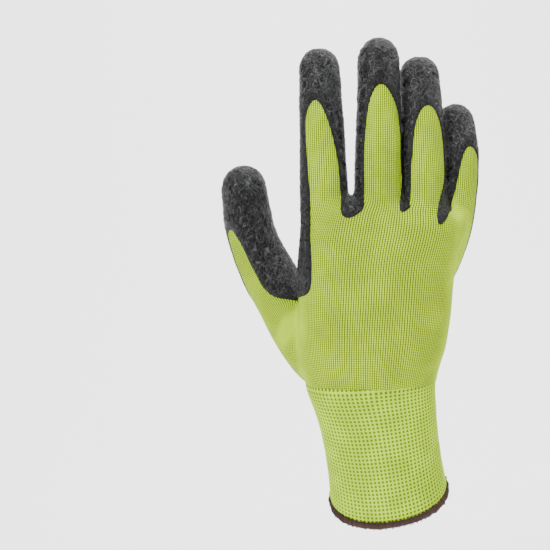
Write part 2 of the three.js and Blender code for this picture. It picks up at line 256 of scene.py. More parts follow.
# The tubes grow into one skin with soft webs at the crotches
SKIN_SMOOTHING = 0.5
SKIN_ROUNDS = 26
remesh = body.modifiers.new("remesh", "REMESH")
remesh.mode = "VOXEL"
remesh.voxel_size = KNIT_STEP
smooth = body.modifiers.new("smooth", "SMOOTH")
smooth.factor = SKIN_SMOOTHING
smooth.iterations = SKIN_ROUNDS
depsgraph = bpy.context.evaluated_depsgraph_get()
skin = bpy.data.meshes.new_from_object(body.evaluated_get(depsgraph))
bpy.data.objects.remove(body)

skin_edges = np.array([edge.vertices[:] for edge in skin.edges])
skin_points = vectors_of(skin.vertices, "co")
# The cloth bridges the roots of the fingers, and regains what the smoothing took off
WEB_HEIGHT = CUFF_LENGTH + 0.99 * PALM_LENGTH
WEB_REACH = 9 * MM
WEB_PULL = 0.6
WEB_ROUNDS = 60
SKIN_REGAIN = 0.55 * MM
web = WEB_PULL * np.exp(-((skin_points[:, 2] - WEB_HEIGHT) / WEB_REACH) ** 2)
bridged = np.stack([spread_smooth(axis, skin_edges, WEB_ROUNDS) for axis in skin_points.T], -1)
skin_points = skin_points + (bridged - skin_points) * web[:, None]
set_points(skin, skin_points)
skin_normals = vectors_of(skin.vertex_normals, "vector")
skin_points = skin_points + skin_normals * SKIN_REGAIN
# The filled cloth is a little uneven, and is creased on the back at the root of the little finger.
# The ends of the crease are across and up.
UNEVEN_HEIGHT = 0.35 * MM
UNEVEN_SIZE = 13 * MM
CREASE_TOP = np.array([30.5, 150.0]) * MM
CREASE_FOOT = np.array([32.5, 132.0]) * MM
CREASE_WIDTH = 2.2 * MM
CREASE_DEPTH = 1.0 * MM
swell = np.array([noise.noise(Vector(point / UNEVEN_SIZE)) for point in skin_points]) * UNEVEN_HEIGHT
crease = CREASE_FOOT - CREASE_TOP
from_top = skin_points[:, [0, 2]] - CREASE_TOP
down = np.clip(from_top @ crease / (crease ** 2).sum(), 0, 1)
away = np.linalg.norm(from_top - down[:, None] * crease, axis=1)
swell -= CREASE_DEPTH * np.exp(-(away / CREASE_WIDTH) ** 2) * np.clip(-skin_normals[:, 1], 0, 1)
skin_points = skin_points + skin_normals * swell[:, None]
skin_faces = [tuple(face.vertices) for face in skin.polygons]


POINTS_AT_ONCE = 4000


def place_on(tube, points):
    """Place of points on a tube: the nearest station, and the offsets from its axis."""
    nearest = np.empty(len(points), dtype=int)
    for start in range(0, len(points), POINTS_AT_ONCE):
        some = slice(start, start + POINTS_AT_ONCE)
        nearest[some] = ((points[some, None] - tube["centre"]) ** 2).sum(-1).argmin(1)
    offset = points - tube["centre"][nearest]
    ahead = (offset * tube["along"][nearest]).sum(-1)
    across = (offset * tube["across"][nearest]).sum(-1)
    back = (offset * tube["back"][nearest]).sum(-1)
    half_width, half_depth = tube["half_width"][nearest], tube["half_depth"][nearest]
    return dict(at=tube["at"][nearest], distance=tube["distance"][nearest] + ahead,
                across=across, back=back, half_width=half_width, half_depth=half_depth,
                reach=np.hypot(across / half_width, back / half_depth),
                turn=np.degrees(np.arctan2(across, back)))


palm_grid = hand_tube(np.linspace(-WRIST_OVERLAP, 1, 2 * PALM_STATIONS))
on_palm = place_on(palm_grid, skin_points)
on_digit = {name: place_on(tube, skin_points) for name, tube in digit_tubes.items()}


# The palm's wales fade out below its top, and a stall's fade in above its start, over shares of each length.
# A point counts for a tube as far as it lies on its skin.
QUARTER_GIRTH = 0.44 * PALM_WIDTH
PALM_FADE = 0.2
STALL_START, STALL_FADE = 0.2, 0.15
SKIN_BAND = 0.12
LEAST_WEIGHT = 1e-4
WALE_ROUNDS, COURSE_ROUNDS = 30, 70


def knit_places():
    """Place of every point in the knit, in metres: across its wales and along its courses."""

    def across_back(place):
        across, back = place["across"] / place["half_width"], place["back"] / place["half_depth"]
        return np.arctan2(across, back) * QUARTER_GIRTH

    def on_skin(place):
        return np.exp(-((place["reach"] - 1) / SKIN_BAND) ** 2)

    total = LEAST_WEIGHT + np.clip((1 - on_palm["at"]) / PALM_FADE, 0, 1) * on_skin(on_palm)
    wale, course = across_back(on_palm) * total, on_palm["distance"] * total
    for name, place in on_digit.items():
        tube = digit_tubes[name]
        root = place_on(palm_grid, tube["centre"][DIGIT_STATIONS // 3][None])
        grown = place["distance"] - STALL_START * tube["length"]
        weight = np.clip(grown / (STALL_FADE * tube["length"]), 0, 1) * on_skin(place)
        straight = np.arcsin(np.clip(root["across"] / root["half_width"], -1, 1)) * QUARTER_GIRTH
        root_wale = across_back(root) if name in ("little", "thumb") else straight
        around = np.radians(place["turn"]) * tube["half_width"].max()
        wale = wale + weight * (root_wale + around)
        course = course + weight * (place["distance"] + tube["centre"][0, 2])
        total = total + weight
    return (spread_smooth(wale / total, skin_edges, WALE_ROUNDS),
            spread_smooth(course / total, skin_edges, COURSE_ROUNDS))


knit_wale, knit_course = knit_places()
# Where the tubes branch the stitches crowd too close to show, and the cloth reads as plain yarn
CROWDED_FROM, CROWDED_TO = 1.25, 1.8
CROWDED_ROUNDS = 8
first, second = skin_edges.T
lengths = np.linalg.norm(skin_points[first] - skin_points[second], axis=1)
strain = np.maximum(np.abs(knit_wale[first] - knit_wale[second]),
                    np.abs(knit_course[first] - knit_course[second])) / lengths
worst = np.zeros(len(skin_points))
np.maximum.at(worst, first, strain)
np.maximum.at(worst, second, strain)
crowded = np.clip((worst - CROWDED_FROM) / (CROWDED_TO - CROWDED_FROM), 0, 1)
crowded = spread_smooth(crowded, skin_edges, CROWDED_ROUNDS)
# A cut keeps this share of an edge clear of its ends
CUT_CLEARANCE = 0.12


def kept_part(faces, values, *fields):
    """The part of the skin where values are under 0, cut along its zero line, with its fields."""
    cuts, made, kept = {}, [], []
    below = values < 0
    for face in faces:
        signs = [bool(below[i]) for i in face]
        if all(signs):
            kept.append(list(face))
        elif any(signs):
            corners = []
            for a, b in zip(face, face[1:] + face[:1]):
                if below[a]:
                    corners.append(a)
                if below[a] != below[b]:
                    key = (min(a, b), max(a, b))
                    if key not in cuts:
                        cuts[key] = len(values) + len(made)
                        made.append(key)
                    corners.append(cuts[key])
            kept.append(corners)
    ends = np.array(made)
    near, far = values[ends[:, 0]], values[ends[:, 1]]
    share = np.clip(near / (near - far), CUT_CLEARANCE, 1 - CUT_CLEARANCE)
    used = np.unique(np.concatenate([np.array(face) for face in kept]))
    renumber = np.full(len(values) + len(made), -1)
    renumber[used] = np.arange(len(used))
    results = []
    for field in (values,) + fields:
        part = share if field.ndim == 1 else share[:, None]
        on_cuts = field[ends[:, 0]] * (1 - part) + field[ends[:, 1]] * part
        results.append(np.concatenate([field, on_cuts])[used])
    return [tuple(int(renumber[i]) for i in face) for face in kept], results


def shell(name, faces, outer, inner):
    """A closed skin between an outer and an inner copy of a surface."""
    sides = {(a, b) for face in faces for a, b in zip(face, face[1:] + face[:1])}
    count = len(outer)
    both = list(faces) + [tuple(i + count for i in reversed(face)) for face in faces]
    both += [(b, a, a + count, b + count) for a, b in sides if (b, a) not in sides]
    return new_piece(name, np.vstack([outer, inner]), both)


def mark(piece, name, values):
    """A number at every point of a piece, for its material."""
    attribute = piece.data.attributes.new(name, "FLOAT", "POINT")
    attribute.data.foreach_set("value", np.asarray(values, dtype=float))


# The palm ends where the knit changes to the rib of the cuff
wrist = hand_tube(np.array([0.0]))
CHANGE_RISE = 2.4 * MM
CHANGE_LEAN, CHANGE_TILT = np.array([1.0]), np.array([6.0])
change_middle = wrist["centre"][0] + np.array([0.0, 0.0, CHANGE_RISE])
past_wrist = (skin_points - change_middle) @ axes(CHANGE_LEAN, CHANGE_TILT, 0 * CHANGE_TILT)[0][0]
faces, (_, points, normals, wales, courses, crowding) = kept_part(
    skin_faces, -past_wrist, skin_points, skin_normals, knit_wale, knit_course, crowded)
hand = shell("hand_knit_cloth", faces, points, points - unit(normals) * KNIT_WALL)
mark(hand, "wale", np.tile(wales, 2))
mark(hand, "course", np.tile(courses, 2))
mark(hand, "crowded", np.tile(crowding, 2))


class Shader:
    """Node tree of a material, with short names for its sums."""

    COLOUR_MIX_INPUTS = (0, 6, 7)
    COLOUR_MIX_OUTPUT = 2

    def __init__(self, name):
        self.material = bpy.data.materials.new(name)
        self.material.use_nodes = True
        self.nodes = self.material.node_tree.nodes
        self.links = self.material.node_tree.links
        self.surface = self.nodes["Principled BSDF"]

    def put(self, value, socket):
        if isinstance(value, bpy.types.NodeSocket):
            self.links.new(value, socket)
        else:
            socket.default_value = value

    def math(self, operation, *values):
        node = self.nodes.new("ShaderNodeMath")
        node.operation = operation
        for value, socket in zip(values, node.inputs):
            self.put(value, socket)
        return node.outputs[0]

    def attribute(self, name):
        node = self.nodes.new("ShaderNodeAttribute")
        node.attribute_name = name
        return node.outputs["Fac"]

    def spot(self):
        return self.nodes.new("ShaderNodeTexCoord").outputs["Object"]

    def noise(self, spot, scale, detail=2.0, roughness=0.5, distortion=0.0):
        node = self.nodes.new("ShaderNodeTexNoise")
        self.put(spot, node.inputs["Vector"])
        node.inputs["Scale"].default_value = scale
        node.inputs["Detail"].default_value = detail
        node.inputs["Roughness"].default_value = roughness
        node.inputs["Distortion"].default_value = distortion
        return node.outputs["Fac"]

    def step(self, value, low, high, start=0.0, end=1.0):
        node = self.nodes.new("ShaderNodeMapRange")
        node.interpolation_type = "SMOOTHSTEP"
        for given, socket in zip((value, low, high, start, end), node.inputs):
            self.put(given, socket)
        return node.outputs[0]

    def mix(self, share, first, second):
        node = self.nodes.new("ShaderNodeMix")
        node.data_type = "RGBA"
        for value, socket in zip((share, first, second), self.COLOUR_MIX_INPUTS):
            self.put(value, node.inputs[socket])
        return node.outputs[self.COLOUR_MIX_OUTPUT]

    def bump(self, height, strength, distance, under=None):
        node = self.nodes.new("ShaderNodeBump")
        self.put(strength, node.inputs["Strength"])
        node.inputs["Distance"].default_value = distance
        self.put(height, node.inputs["Height"])
        if under is not None:
            self.put(under, node.inputs["Normal"])
        return node.outputs[0]


YARN_SHADE = 0.8
YARN_ROUGHNESS = 0.82
YARN_SHINE = 0.2
YARN_BUMP = 0.5
CLOUD_EDGE = 0.15


def finish_cloth(shader, stitch, cloth):
    """Colour and fine relief of a knit from the height of its stitches: yarn on top, painted shade in the
    gaps between, and dark fuzz in the same colour as that shade.
    """
    spot = shader.spot()
    cloudy = shader.step(shader.noise(spot, cloth["cloud_scale"], 3.0), 0.5 - CLOUD_EDGE, 0.5 + CLOUD_EDGE)
    fuzz = shader.noise(spot, cloth["fuzz_scale"])
    shaded = tuple(YARN_SHADE * c for c in cloth["yarn"][:3]) + (1.0,)
    lit = shader.mix(cloudy, cloth["yarn"], shaded)
    # Dark fuzz on the yarn, in the colour of the painted gap shade
    lit = shader.mix(shader.math("MULTIPLY", fuzz, cloth["fuzz_share"]), lit, cloth["gap_shade_and_fuzz"])
    # Painted shade in the gaps: where a stitch is low its colour gives way to the dark gap colour
    colour = shader.mix(shader.step(stitch, *cloth["shown"]), cloth["gap_shade_and_fuzz"], lit)
    shader.put(colour, shader.surface.inputs["Base Color"])
    shader.surface.inputs["Roughness"].default_value = YARN_ROUGHNESS
    shader.surface.inputs["Specular IOR Level"].default_value = YARN_SHINE
    relief = shader.math("ADD", stitch, shader.math("MULTIPLY", fuzz, cloth["fuzz_height"]))
    shader.put(shader.bump(relief, YARN_BUMP, cloth["stitch_height"]), shader.surface.inputs["Normal"])


# shown is the height range of a stitch and how much yarn colour it has at each end; below it the gap colour
# is painted shade between the stitches, and it is also the colour of the dark fuzz
FINE_CLOTH = dict(yarn=(0.66, 0.95, 0.0, 1.0), gap_shade_and_fuzz=(0.035, 0.075, 0.0, 1.0),
                  cloud_scale=60.0, fuzz_scale=2600.0, fuzz_share=0.16, fuzz_height=0.25,
                  shown=(0.05, 0.95, 0.0, 1.0), stitch_height=0.4 * MM)
WALE_PITCH = 1.15 * MM
COURSE_PITCH = 0.85 * MM
# Edges of a row, a wale and a leg of a loop, where a stitch drops into its gap and the colour turns to
# painted shade, in shares of a stitch
LEG_SLANT = 0.9
ROW_EDGE = (0.02, 0.26)
WALE_EDGE = (0.05, 0.34)
LEG_EDGE = (0.0, 0.12, 0.55, 1.0)
CROWDED_HEIGHT = 0.42


def fine_knit():
    """Jersey of V-shaped loops."""
    shader = Shader("fine_knit")
    wale = shader.math("DIVIDE", shader.attribute("wale"), WALE_PITCH)
    course = shader.math("DIVIDE", shader.attribute("course"), COURSE_PITCH)
    leg = shader.math("PINGPONG", wale, 0.5)
    row = shader.math("PINGPONG", shader.math("ADD", course, shader.math("MULTIPLY", leg, LEG_SLANT)), 0.5)
    between_rows = shader.step(row, *ROW_EDGE)
    between_wales = shader.step(shader.math("PINGPONG", shader.math("ADD", wale, 0.5), 0.5), *WALE_EDGE)
    height = shader.math("MULTIPLY", between_rows, between_wales)
    height = shader.math("MULTIPLY", height, shader.step(leg, *LEG_EDGE))
    # Crowded cloth is raised towards plain yarn, so it shows less of the painted gap shade
    plain = shader.math("MULTIPLY", shader.attribute("crowded"), CROWDED_HEIGHT)
    finish_cloth(shader, shader.math("MAXIMUM", height, plain), FINE_CLOTH)
    return shader.material


hand.data.materials.append(fine_knit())
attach(hand, "root")
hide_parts("hand_knit", "index_stall", "middle_stall", "ring_stall", "little_stall", "thumb_stall")

# Latex
# Black natural latex: the hand is dipped palm first, so the skin wraps the palm, the sides and the tips
# of the digits and leaves the back bare. It is crinkled before it sets, for grip.
COAT_THICKNESS = 1.1 * MM
COAT_EDGE_THICKNESS = 0.3 * MM
COAT_TAPER = 1.6 * MM
COAT_SUNK = 0.25 * MM
COAT_EDGE_ROUNDS = 16

# Edges of the bare tongue on the back of each digit, in degrees from the middle of its back
TONGUES = {
    "index": table("along from to", [
        (0.000, -38, 50), (0.350, -38, 52), (0.460, -43, 49),
        (0.560, -48, 39), (0.640, -50, 27), (0.700, -48, 14),
        (0.736, -38, 4), (0.768, -20, -8),
    ]),
    "middle": table("along from to", [
        (0.000, -50, 44), (0.310, -50, 50), (0.400, -50, 76),
        (0.530, -51, 78), (0.610, -49, 76), (0.700, -40, 52),
        (0.750, -30, 30), (0.785, -17, 12), (0.801, -8, 1),
    ]),
    "ring": table("along from to", [
        (0.000, -60, 8), (0.300, -61, 14), (0.390, -57, 38),
        (0.490, -54, 64), (0.570, -48, 66), (0.620, -45, 60),
        (0.665, -40, 52), (0.700, -33, 42), (0.730, -24, 30), (0.757, -12, 16),
    ]),
    "little": table("along from to", [
        (0.000, -112, 60), (0.390, -104, 56), (0.450, -66, 54), (0.530, -55, 52),
        (0.610, -47, 51), (0.690, -36, 51), (0.735, -24, 44),
        (0.770, -8, 8),
    ]),
    "thumb": table("along from to", [
        (0.000, -80, 86), (0.300, -78, 69), (0.340, -76, 46),
        (0.385, -72, 28), (0.450, -56, 20), (0.510, -47, 21),
        (0.600, -45, 20), (0.680, -44, 16), (0.720, -40, 6),
        (0.745, -16, -2),
    ]),
}
# Edges of the bare back of the hand, shares of its half width, and of its half depth for lift
BARE_BACK = table("level from to lift", [
    (-0.30, -1.40, 1.40, -0.10),
    (0.36, -2.20, 1.40, -0.10),
    (0.43, -1.90, 1.40, -0.10),
    (0.465, -1.04, 1.40, -0.10),
    (0.50, -0.90, 1.40, -0.08),
    (0.56, -0.86, 1.40, -0.06),
    (0.70, -0.83, 1.40, -0.05),
    (0.92, -0.82, 1.40, 0.00),
])
# Height of the latex between the fingers, across the back
POCKETS = table("across level", [
    (-1.00, 0.895), (-0.60, 0.897), (-0.42, 0.899), (-0.31, 0.950), (-0.15, 0.980), (0.02, 0.950),
    (0.09, 0.928), (0.17, 0.945), (0.26, 0.980), (0.48, 0.975), (0.56, 0.928), (0.61, 0.912),
    (0.66, 0.912), (0.70, 0.935), (0.745, 0.975), (1.00, 0.980),
])
# A tongue counts up to this many radii from the axis of its digit, further out at its root. Past
# CLOSE_REACH its edges run on straight out of the digit's back.
ROOT_SHARE = 0.47
ROOT_REACH = 2.5
STALL_REACH = 1.5
CLOSE_REACH = 1.15
NOT_BARE = -1.0
# The latex runs a little way onto the cuff under the palm
COAT_FOOT = 2.2 * MM
COAT_FOOT_SAG = 1.6 * MM
COAT_FOOT_WAVE = 0.7 * MM
COAT_FOOT_WAVES = 9
# Past the side of a digit, this many degrees count as one more half width
SIDE_ANGLE = 90
PAST_SIDE_ANGLE = 60


def side_share(angle):
    """Share of the half width at an angle from the back; past the side it runs on beyond 1."""
    past = 1 + (np.abs(angle) - SIDE_ANGLE) / PAST_SIDE_ANGLE
    return np.where(np.abs(angle) < SIDE_ANGLE, np.sin(np.radians(angle)), np.sign(angle) * past)


def bareness():
    """How far each point lies inside the bare knit, in metres; under 0 it is under latex."""
    across, half_width, level = on_palm["across"], on_palm["half_width"], on_palm["at"]
    edge = {column: read(BARE_BACK, column, level) for column in BARE_BACK}
    bare = np.minimum.reduce([
        across - edge["from"] * half_width,
        edge["to"] * half_width - across,
        on_palm["back"] - edge["lift"] * on_palm["half_depth"],
        (read(POCKETS, "level", across / half_width) - level) * PALM_LENGTH,
    ])
    for name, place in on_digit.items():
        tongue = TONGUES[name]
        radius = np.hypot(place["across"], place["back"])
        start, end = read(tongue, "from", place["at"]), read(tongue, "to", place["at"])
        round_it = np.radians(np.minimum(place["turn"] - start, end - place["turn"])) * radius
        share = place["across"] / place["half_width"]
        beside = np.minimum(share - side_share(start), side_share(end) - share)
        clear_of = (place["reach"] > CLOSE_REACH) & (place["back"] > 0)
        into = np.where(clear_of, beside * place["half_width"], round_it)
        inside = np.minimum(into, (tongue["along"][-1] - place["at"]) * digit_tubes[name]["length"])
        far = np.where(place["at"] < ROOT_SHARE, ROOT_REACH, STALL_REACH)
        bare = np.maximum(bare, np.where(place["reach"] < far, inside, NOT_BARE))
    turn = np.radians(on_palm["turn"])
    foot = COAT_FOOT - COAT_FOOT_SAG * np.cos(turn) + COAT_FOOT_WAVE * np.sin(COAT_FOOT_WAVES * turn)
    return np.maximum(bare, -foot - past_wrist)


bare = spread_smooth(bareness(), skin_edges, COAT_EDGE_ROUNDS)
coat_faces, (coat_bare, coat_base, coat_normals) = kept_part(skin_faces, bare, skin_points, skin_normals)
coat_normals = unit(coat_normals)
depth_in = np.maximum(-coat_bare, 0)
# The crinkle fades towards the edge of the latex and is a little calmer on the back
CRINKLE_FADE = 5 * MM
CRINKLE_LEAST = 0.08
CRINKLE_CALM = 0.15
CRINKLE_HEIGHT = 0.6 * MM
CRINKLE_SIZE = 3.2 * MM
CRINKLE_PACKING = np.array([1.0, 1.0, 1.25])
LARGE_FOLDS, SMALL_FOLDS = 0.65, 0.35
SMALL_FOLD_RATIO = 1.9
SMALL_FOLD_SHIFT = Vector((7.3, 1.9, 4.1))
MEAN_FOLD = 0.35
on_back = np.clip(-coat_normals[:, 1], 0, 1)
crinkle = np.clip(depth_in / CRINKLE_FADE, CRINKLE_LEAST, 1) * (1 - CRINKLE_CALM * on_back)


def fold_height(point):
    """Sharp folds with round valleys between them, in two sizes."""
    large = 1 - 2 * abs(noise.noise(point / CRINKLE_SIZE))
    small = 1 - 2 * abs(noise.noise(point / CRINKLE_SIZE * SMALL_FOLD_RATIO + SMALL_FOLD_SHIFT))
    return LARGE_FOLDS * large + SMALL_FOLDS * small - MEAN_FOLD


folds = np.array([fold_height(Vector(point)) for point in coat_base * CRINKLE_PACKING])
taper = 1 - np.exp(-depth_in / COAT_TAPER)
thickness = COAT_EDGE_THICKNESS + (COAT_THICKNESS - COAT_EDGE_THICKNESS) * taper
thickness = thickness + CRINKLE_HEIGHT * crinkle * folds * taper
coat = shell("latex_skin", coat_faces, coat_base + coat_normals * thickness[:, None],
             coat_base - coat_normals * COAT_SUNK)
mark(coat, "crinkle", np.tile(crinkle, 2))

# Colours of the crinkle: the latex's black is painted as shade in its valleys and as a highlight on its
# ridges
LATEX_VALLEY_PAINTED_SHADE = (0.001, 0.001, 0.0012, 1.0)
LATEX_RIDGE_PAINTED_HIGHLIGHT = (0.075, 0.076, 0.079, 1.0)
LATEX_ROUGHNESS = 0.42
LATEX_SHINE = 0.22
# Ridges too fine for the mesh, wide and narrow ones: their scale, winding and width
WIDE_RIDGES = (300.0, 1.3, 0.09)
NARROW_RIDGES = (640.0, 0.9, 0.09)
NARROW_SHARE = 0.5
RIDGE_PACKING = (1.0, 1.0, 0.62)
RIDGE_BUMP = 3.6 * MM
GRAIN_SCALE = 3600.0
GRAIN_BUMP = 0.10 * MM
GRAIN_STRENGTH = 0.3
latex = Shader("crinkled_latex")
spot = latex.spot()
packed = latex.nodes.new("ShaderNodeMapping")
latex.put(spot, packed.inputs["Vector"])
packed.inputs["Scale"].default_value = RIDGE_PACKING


def winding_ridges(scale, winding, width):
    """Narrow winding ridges of the latex, 0 in the valleys and 1 on top."""
    off_line = latex.math("SUBTRACT", latex.noise(packed.outputs[0], scale, distortion=winding), 0.5)
    return latex.step(latex.math("ABSOLUTE", off_line), 0.0, width, 1.0, 0.0)


narrow = latex.math("MULTIPLY", winding_ridges(*NARROW_RIDGES), NARROW_SHARE)
creased = latex.math("MAXIMUM", winding_ridges(*WIDE_RIDGES), narrow)
height = latex.math("MULTIPLY", creased, latex.attribute("crinkle"))
ridged = latex.bump(height, 1.0, RIDGE_BUMP)
grained = latex.bump(latex.noise(spot, GRAIN_SCALE), GRAIN_STRENGTH, GRAIN_BUMP, ridged)
latex.put(grained, latex.surface.inputs["Normal"])
# The colour follows the crinkle's height: painted shade in the valleys, painted highlight on the ridges;
# where the crinkle fades the latex takes the painted shade colour
latex.put(latex.mix(height, LATEX_VALLEY_PAINTED_SHADE, LATEX_RIDGE_PAINTED_HIGHLIGHT), latex.surface.inputs["Base Color"])
latex.surface.inputs["Roughness"].default_value = LATEX_ROUGHNESS
latex.surface.inputs["Specular IOR Level"].default_value = LATEX_SHINE
coat.data.materials.append(latex.material)
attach(coat, "root")
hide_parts("latex_coating")
bpy.data.meshes.remove(skin)

# Cuff
# Coarser rib of the same yarn over covered elastic, which draws the wrist in. The elastic lies in
# every course and makes the cross ridges; the dark gaps between the ridges and stitches are painted shade.
CUFF_TOP_LEVEL = 0.07
CUFF_MIDDLE_LEVEL = -0.5
CUFF_WALES = 82
CUFF_COURSES = 35
RIB_HEIGHT = 0.55 * MM
RIB_WALL = 1.3 * MM
POINTS_A_WALE = 5
POINTS_A_COURSE = 3
WALE_FULLNESS = 0.7
CROSS_RIDGES, STITCH_DOTS = 0.55, 0.45
TOP_FADE = 0.08
EDGING_HEIGHT = 3.2 * MM
RING_SAMPLES = 2000


def even_turns(tube, count):
    """Turns that part a ring of a tube into equal lengths."""
    ring = rings_of(tube, RING_SAMPLES)[0]
    travelled = np.cumsum(np.linalg.norm(np.roll(ring, -1, 0) - ring, axis=1))
    wanted = np.arange(count) / count * travelled[-1]
    return np.interp(wanted, np.insert(travelled, 0, 0), np.linspace(0, 2 * np.pi, RING_SAMPLES + 1))


def cuff_rings(levels, sides, grow, relief):
    """Rings of the cuff, moved outwards by grow and by a relief for each wale and course."""
    tube = hand_tube(levels)
    tube["half_width"] = tube["half_width"] + grow
    tube["half_depth"] = tube["half_depth"] + grow
    rings = rings_of(tube, sides, even_turns(hand_tube(np.array([CUFF_MIDDLE_LEVEL])), sides))
    outward = unit(rings - tube["centre"][:, None])
    return rings + outward * relief[..., None]


def cuff_relief(levels, sides):
    """Height of the stitches: a ridge for each course, with a dot in it for each wale."""
    wale = np.arange(sides) / POINTS_A_WALE
    course = (levels + 1) * CUFF_COURSES
    upright = np.abs(np.sin(np.pi * wale))[None] ** WALE_FULLNESS
    cross = (0.5 - 0.5 * np.cos(2 * np.pi * course))[:, None]
    return RIB_HEIGHT * (CROSS_RIDGES * cross + STITCH_DOTS * upright * cross - 0.5)


# The cloth ends in the middle of the edging, and is plain at its top, inside the hand knit
hem_level = -1 + 0.5 * EDGING_HEIGHT / CUFF_LENGTH
rows = CUFF_COURSES * POINTS_A_COURSE
levels = np.linspace(hem_level, CUFF_TOP_LEVEL, rows)
sides = CUFF_WALES * POINTS_A_WALE
fade = np.clip((levels[-1] - levels) / TOP_FADE, 0, 1)[:, None]
outer = cuff_rings(levels, sides, 0.0, cuff_relief(levels, sides) * fade)
inner = cuff_rings(levels, sides, -RIB_WALL, 0 * outer[..., 0])
count = rows * sides
index = np.arange(count).reshape(rows, sides)
turned = np.roll(index, -1, axis=1)
outside_faces = wall_faces(index)
faces = outside_faces.tolist() + (outside_faces[:, ::-1] + count).tolist()
faces += np.stack([turned[0], index[0], index[0] + count, turned[0] + count], -1).tolist()
faces += np.stack([index[-1], turned[-1], turned[-1] + count, index[-1] + count], -1).tolist()
cuff = new_piece("rib_cuff_cloth", np.vstack([outer.reshape(-1, 3), inner.reshape(-1, 3)]), faces)
wale_at = np.tile(np.arange(sides) / POINTS_A_WALE, rows)
course_at = np.repeat((levels + 1) * CUFF_COURSES, sides)
mark(cuff, "wale", np.tile(wale_at, 2))
mark(cuff, "course", np.tile(course_at, 2))

# The rib's gap colour is painted shade between its ridges and stitches, and also the colour of its dark fuzz
RIB_CLOTH = dict(yarn=(0.48, 0.74, 0.0, 1.0), gap_shade_and_fuzz=(0.04, 0.10, 0.0, 1.0),
                 cloud_scale=70.0, fuzz_scale=2300.0, fuzz_share=0.2, fuzz_height=0.3,
                 shown=(0.0, 0.8, 0.12, 1.0), stitch_height=0.5 * MM)
RIB_WALE_EDGE = (0.12, 0.40)
RIB_COURSE_EDGE = (0.16, 0.44)
CROSSING_SHARE = 0.28
rib = Shader("rib_knit")
# Heights of the rib: where they are low, between the ridges and stitches, the colour is painted shade
upright = rib.step(rib.math("PINGPONG", rib.attribute("wale"), 0.5), *RIB_WALE_EDGE)
cross = rib.step(rib.math("PINGPONG", rib.attribute("course"), 0.5), *RIB_COURSE_EDGE)
crossing = rib.math("MULTIPLY", rib.math("MULTIPLY", upright, cross), CROSSING_SHARE)
ridge = rib.math("MULTIPLY", rib.math("MAXIMUM", upright, cross), 1 - CROSSING_SHARE)
finish_cloth(rib, rib.math("ADD", ridge, crossing), RIB_CLOTH)
cuff.data.materials.append(rib.material)
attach(cuff, "root")
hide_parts("rib_cuff")

# Edging
# The hem is oversewn with dark brown overlock thread: close loops that wrap the raw edge, over a
# core of the same thread.
EDGING_DEPTH = 2.7 * MM
EDGING_SIDES = 14
HEM_POINTS = 240
STITCHES = 150
THREAD_RADIUS = 0.34 * MM
THREAD_SIDES = 6
LOOP_SIDES = 16
LOOP_SIZE = (0.62 * EDGING_HEIGHT, 0.5 * EDGING_DEPTH, 1.0)
LOOP_SPREAD = (0.82, 1.15)
LOOP_LEAN = (0.0, 0.22, 0.0)
LOOP_SEED = 7
THREAD_COLOUR = (0.012, 0.0032, 0.0014, 1.0)
THREAD_WORN_COLOUR = (0.045, 0.011, 0.005, 1.0)
THREAD_ROUGHNESS = 0.75
STRAND_SCALE = 1600.0
STRAND_STRENGTH = 0.6
STRAND_HEIGHT = 0.25 * MM

hem = hand_tube(np.array([-1.0]))
hem["half_width"] = hem["half_width"] - RIB_WALL / 2
hem["half_depth"] = hem["half_depth"] - RIB_WALL / 2
path = rings_of(hem, HEM_POINTS)[0]
outward = unit(path - hem["centre"])
turn = np.linspace(0, 2 * np.pi, EDGING_SIDES, endpoint=False)
middle = path[:, None] + hem["along"][0] * EDGING_HEIGHT / 2
ring = (middle + outward[:, None] * (np.cos(turn) * EDGING_DEPTH / 2)[None, :, None]
        - hem["along"][0] * (np.sin(turn) * EDGING_HEIGHT / 2)[None, :, None])
index = np.arange(HEM_POINTS * EDGING_SIDES).reshape(HEM_POINTS, EDGING_SIDES)
core = new_piece("edging_core", ring.reshape(-1, 3), wall_faces(np.vstack([index, index[:1]])))

thread = Shader("overlock_thread")
strand = thread.noise(thread.spot(), STRAND_SCALE)
thread.put(thread.mix(strand, THREAD_WORN_COLOUR, THREAD_COLOUR), thread.surface.inputs["Base Color"])
thread.surface.inputs["Roughness"].default_value = THREAD_ROUGHNESS
thread.put(thread.bump(strand, STRAND_STRENGTH, STRAND_HEIGHT), thread.surface.inputs["Normal"])
core.data.materials.append(thread.material)


